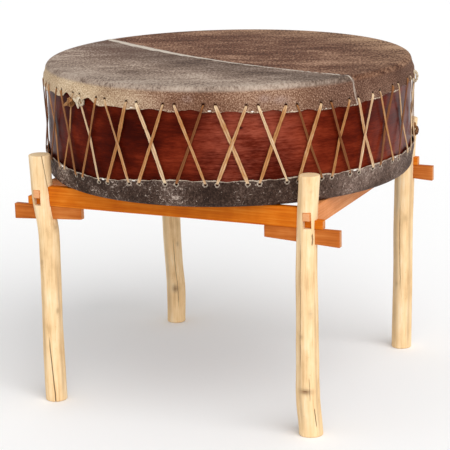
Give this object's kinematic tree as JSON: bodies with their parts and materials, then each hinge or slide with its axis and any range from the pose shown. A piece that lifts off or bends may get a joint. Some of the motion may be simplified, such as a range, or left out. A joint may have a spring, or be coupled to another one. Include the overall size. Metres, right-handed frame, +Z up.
{
  "type": "laced frame drum on a pole stand",
  "caption": "Large round two-headed frame drum, laced all round with rawhide, lying flat on a low stand of peeled poles held together by tenoned rails and driven wedges.",
  "frame": {"origin": "on the floor, straight below the drum's axis", "axes": "+Z up along the drum's axis, X along the front and back rails, -Y towards the front"},
  "size_m": [0.7674, 0.7674, 0.6873],
  "materials": {
    "peeled_pole": "bare dry wood",
    "stained_rail": "stained, satin",
    "stained_wedge": "stained, satin",
    "varnished_shell": "dark red stain under gloss varnish",
    "peg_wood": "stained",
    "hoop_wood": "bare",
    "haired_hide": "short hair left on",
    "dark_hide": "dark, worn",
    "rawhide_lace": "dry rawhide",
    "pale_rawhide": "dry rawhide",
    "brown_leather": "worn"
  },
  "bodies": {
    "stand": {"leg_front_left": "peeled_pole", "leg_front_right": "peeled_pole", "leg_back_right": "peeled_pole", "leg_back_left": "peeled_pole", "rail_front": "stained_rail", "rail_back": "stained_rail", "rail_left": "stained_rail", "rail_right": "stained_rail"},
    "drum": {"shell": "varnished_shell", "scarf_pegs": "peg_wood", "upper_inner_hoop": "hoop_wood", "lower_inner_hoop": "hoop_wood", "top_head": "haired_hide", "bottom_head": "dark_hide", "lace_over": "rawhide_lace", "lace_under": "rawhide_lace", "rawhide_knot": "pale_rawhide", "leather_knot": "brown_leather", "carry_loop": "pale_rawhide", "tie_loop": "brown_leather"},
    "wedge_front_left": {"wedge_front_left": "stained_wedge"},
    "wedge_front_right": {"wedge_front_right": "stained_wedge"},
    "wedge_back_right": {"wedge_back_right": "stained_wedge"},
    "wedge_back_left": {"wedge_back_left": "stained_wedge"}
  },
  "joints": [
    {"name": "drum_lift", "type": "slide", "parent": "stand", "child": "drum", "axis": [0, 0, 1], "range_m": [0, 0.15]},
    {"name": "wedge_front_left_pull", "type": "slide", "parent": "stand", "child": "wedge_front_left", "axis": [-1, 0, 0], "range_m": [0, 0.12]},
    {"name": "wedge_front_right_pull", "type": "slide", "parent": "stand", "child": "wedge_front_right", "axis": [1, 0, 0], "range_m": [0, 0.12]},
    {"name": "wedge_back_right_pull", "type": "slide", "parent": "stand", "child": "wedge_back_right", "axis": [1, 0, 0], "range_m": [0, 0.12]},
    {"name": "wedge_back_left_pull", "type": "slide", "parent": "stand", "child": "wedge_back_left", "axis": [-1, 0, 0], "range_m": [0, 0.12]}
  ]
}
